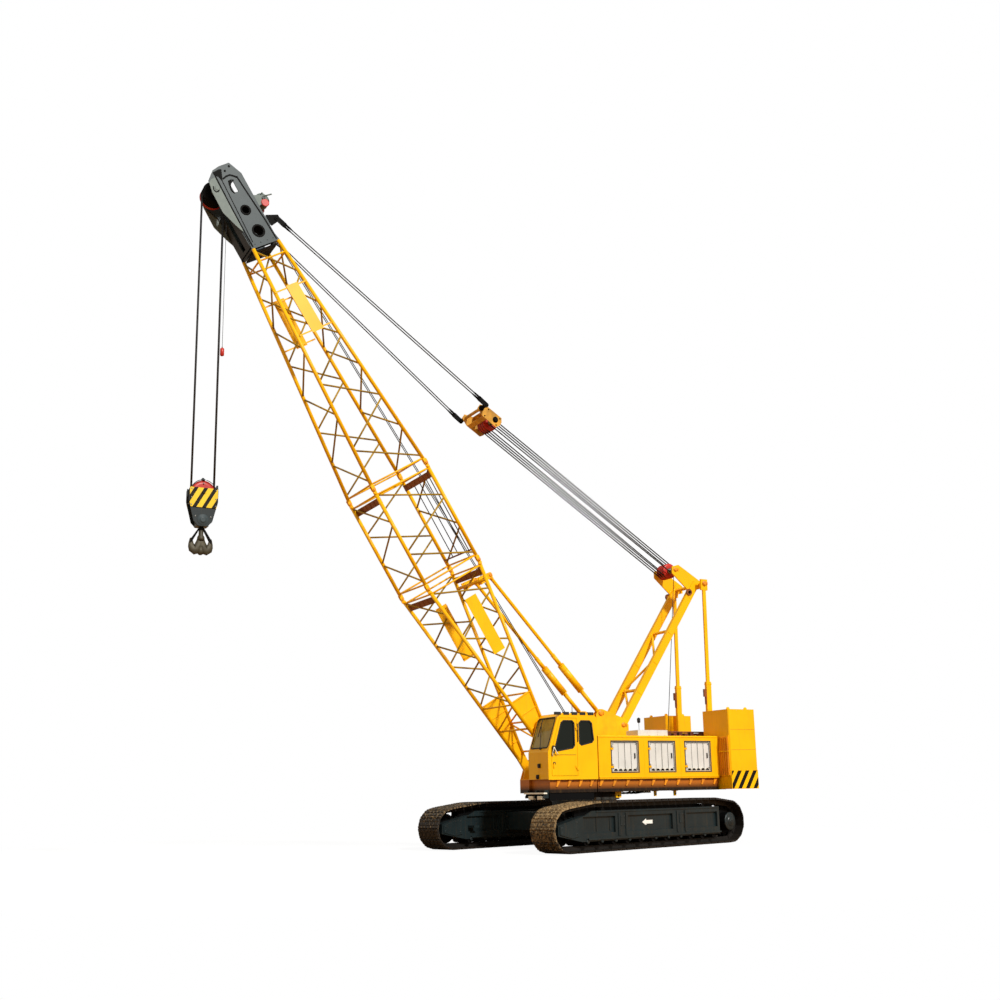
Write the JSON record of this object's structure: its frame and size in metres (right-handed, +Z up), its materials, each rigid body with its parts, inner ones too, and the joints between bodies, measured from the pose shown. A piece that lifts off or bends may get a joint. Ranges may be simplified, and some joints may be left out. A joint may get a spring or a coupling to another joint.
{
  "type": "crawler crane",
  "caption": "Crawler crane with a slewing upper works, side cab, twin houses, gantry and a raised lattice boom with a hanging double hook.",
  "frame": {"origin": "on the ground, under the middle of the whole machine's length and width, boom as it stands", "axes": "+Z up, the boom points to -Y, the cab is on the +X side"},
  "size_m": [6.9942, 15.739, 17.7561],
  "materials": {
    "yellow_paint": "semi-gloss",
    "dark_paint": "satin",
    "slate_paint": "satin",
    "striped_paint": "semi-gloss",
    "silver_paint": "semi-gloss",
    "pale_paint": "satin",
    "winch_paint": "satin",
    "sheave_red": "satin",
    "shoe_steel": "worn",
    "roller_steel": "worn",
    "ring_steel": "greased",
    "engine_iron": "matt",
    "rope_steel": "greased",
    "cab_glazing": "clear",
    "seat_cloth": "woven",
    "dark_plastic": "grained"
  },
  "bodies": {
    "undercarriage": {"carbody": "dark_paint", "slewing_ring": "ring_steel", "track_left": "shoe_steel", "track_right": "shoe_steel", "crawler_frame_left": "dark_paint", "crawler_frame_right": "dark_paint", "rollers_left": "roller_steel", "rollers_right": "roller_steel", "idlers": "roller_steel", "sprockets": "roller_steel"},
    "upper": {"deck": "yellow_paint", "house_left": "yellow_paint", "house_right": "yellow_paint", "counterweight_left": "yellow_paint", "counterweight_right": "yellow_paint", "counterweight_tray": "striped_paint", "cab_shell": "yellow_paint", "cab_glass": "cab_glazing", "operator_seat": "seat_cloth", "control_stand": "dark_plastic", "engine_block": "engine_iron", "fuel_tank": "dark_paint", "roof_boxes": "pale_paint", "winch_drums": "winch_paint", "gantry_legs": "yellow_paint", "gantry_links": "yellow_paint", "gantry_sheaves": "sheave_red"},
    "boom": {"boom_base": "yellow_paint", "boom_insert": "yellow_paint", "boom_top": "yellow_paint", "boom_head": "slate_paint", "head_sheaves": "sheave_red", "pendants": "rope_steel", "bail": "yellow_paint", "bail_sheaves": "sheave_red"},
    "falls": {"hoist_falls": "rope_steel", "hook_block": "yellow_paint", "block_sheaves": "sheave_red"},
    "hook": {"hook": "slate_paint"},
    "backstop_lower": {"backstop_sleeves": "yellow_paint"},
    "backstop_upper": {"backstop_tubes": "slate_paint"},
    "cab_door": {"cab_door": "yellow_paint", "cab_door_glass": "cab_glazing"},
    "door_left_1": {"door_left_1": "silver_paint"},
    "door_left_2": {"door_left_2": "silver_paint"},
    "door_left_3": {"door_left_3": "silver_paint"},
    "door_right_1": {"door_right_1": "silver_paint"},
    "door_right_2": {"door_right_2": "silver_paint"},
    "door_right_3": {"door_right_3": "silver_paint"}
  },
  "joints": [
    {"name": "slew", "type": "hinge", "parent": "undercarriage", "child": "upper", "pos_m": [0, 3.35947, 1.24], "axis": [0, 0, 1], "continuous": true},
    {"name": "luff", "type": "hinge", "parent": "upper", "child": "boom", "pos_m": [0, 2.08947, 2.055], "axis": [-1, 0, 0], "range_deg": [-28.7, 21.3]},
    {"name": "falls_plumb", "type": "hinge", "parent": "boom", "child": "falls", "pos_m": [0, -7.50946, 16.95703], "axis": [-1, 0, 0], "range_deg": [-22.3, 29.7]},
    {"name": "hook_swivel", "type": "hinge", "parent": "falls", "child": "hook", "pos_m": [0, -7.50946, 7.96703], "axis": [0, 0, 1], "continuous": true},
    {"name": "backstop_swing", "type": "hinge", "parent": "upper", "child": "backstop_lower", "pos_m": [0, 3.65946, 3.6], "axis": [-1, 0, 0], "range_deg": [-29.27, 21.98]},
    {"name": "backstop_slide", "type": "slide", "parent": "backstop_lower", "child": "backstop_upper", "axis": [0, -0.6786, 0.7345], "range_m": [-0.8006, 1.0769]},
    {"name": "cab_door_hinge", "type": "hinge", "parent": "upper", "child": "cab_door", "pos_m": [2.025, 1.91946, 2.6], "axis": [0, 0, 1], "range_deg": [0, 90]},
    {"name": "door_left_1_hinge", "type": "hinge", "parent": "upper", "child": "door_left_1", "pos_m": [1.62, 3.29947, 2.365], "axis": [0, 0, -1], "range_deg": [0, 100]},
    {"name": "door_left_2_hinge", "type": "hinge", "parent": "upper", "child": "door_left_2", "pos_m": [1.62, 4.51947, 2.365], "axis": [0, 0, -1], "range_deg": [0, 100]},
    {"name": "door_left_3_hinge", "type": "hinge", "parent": "upper", "child": "door_left_3", "pos_m": [1.62, 5.73947, 2.365], "axis": [0, 0, -1], "range_deg": [0, 100]},
    {"name": "door_right_1_hinge", "type": "hinge", "parent": "upper", "child": "door_right_1", "pos_m": [-1.62, 3.29947, 2.365], "axis": [0, 0, 1], "range_deg": [0, 100]},
    {"name": "door_right_2_hinge", "type": "hinge", "parent": "upper", "child": "door_right_2", "pos_m": [-1.62, 4.51947, 2.365], "axis": [0, 0, 1], "range_deg": [0, 100]},
    {"name": "door_right_3_hinge", "type": "hinge", "parent": "upper", "child": "door_right_3", "pos_m": [-1.62, 5.73947, 2.365], "axis": [0, 0, 1], "range_deg": [0, 100]}
  ],
  "couplings": [
    {"joint": "falls_plumb", "follows": "luff", "ratio": -1},
    {"joint": "backstop_swing", "follows": "luff", "ratio": 0.985},
    {"joint": "backstop_slide", "follows": "luff", "m_per_rad": -2.14}
  ]
}
